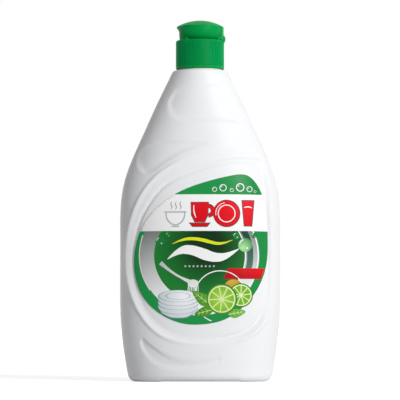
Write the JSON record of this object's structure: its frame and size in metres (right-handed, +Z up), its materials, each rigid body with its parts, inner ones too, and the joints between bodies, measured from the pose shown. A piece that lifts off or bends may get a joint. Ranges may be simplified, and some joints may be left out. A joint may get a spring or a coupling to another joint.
{
  "type": "dish soap bottle",
  "caption": "Oval blow-moulded dish soap bottle with a recessed label panel, swooping grip grooves and a ribbed screw cap with a hinged flip lid.",
  "frame": {"origin": "middle of the base, on the surface the bottle stands on", "axes": "+Z up, the labelled front faces -Y, +X to the right as seen from the front"},
  "size_m": [0.1001, 0.0584, 0.2257],
  "materials": {
    "white_hdpe": "satin white polyethylene",
    "green_liquid": "clear green liquid",
    "printed_film": "glossy printed film",
    "foam_liner": "white foamed polyethylene",
    "green_pp": "semi-gloss green polypropylene"
  },
  "bodies": {
    "bottle": {"bottle": "white_hdpe", "dish_liquid": "green_liquid", "front_label": "printed_film"},
    "liner": {"cap_liner": "foam_liner"},
    "cap": {"cap_base": "green_pp"},
    "lid": {"flip_lid": "green_pp"}
  },
  "joints": [
    {"name": "cap_rise", "type": "slide", "parent": "bottle", "child": "liner", "axis": [0, 0, 1], "range_m": [0, 0.00481]},
    {"name": "cap_turn", "type": "hinge", "parent": "liner", "child": "cap", "pos_m": [0, 0, 0.2], "axis": [0, 0, 1], "range_deg": [0, 540]},
    {"name": "lid_flip", "type": "hinge", "parent": "cap", "child": "lid", "pos_m": [0.01517, 0.00267, 0.2139], "axis": [-0.1736, 0.9848, 0], "range_deg": [0, 150]}
  ],
  "couplings": [
    {"joint": "cap_rise", "follows": "cap_turn", "m_per_rad": 0.0005093}
  ]
}
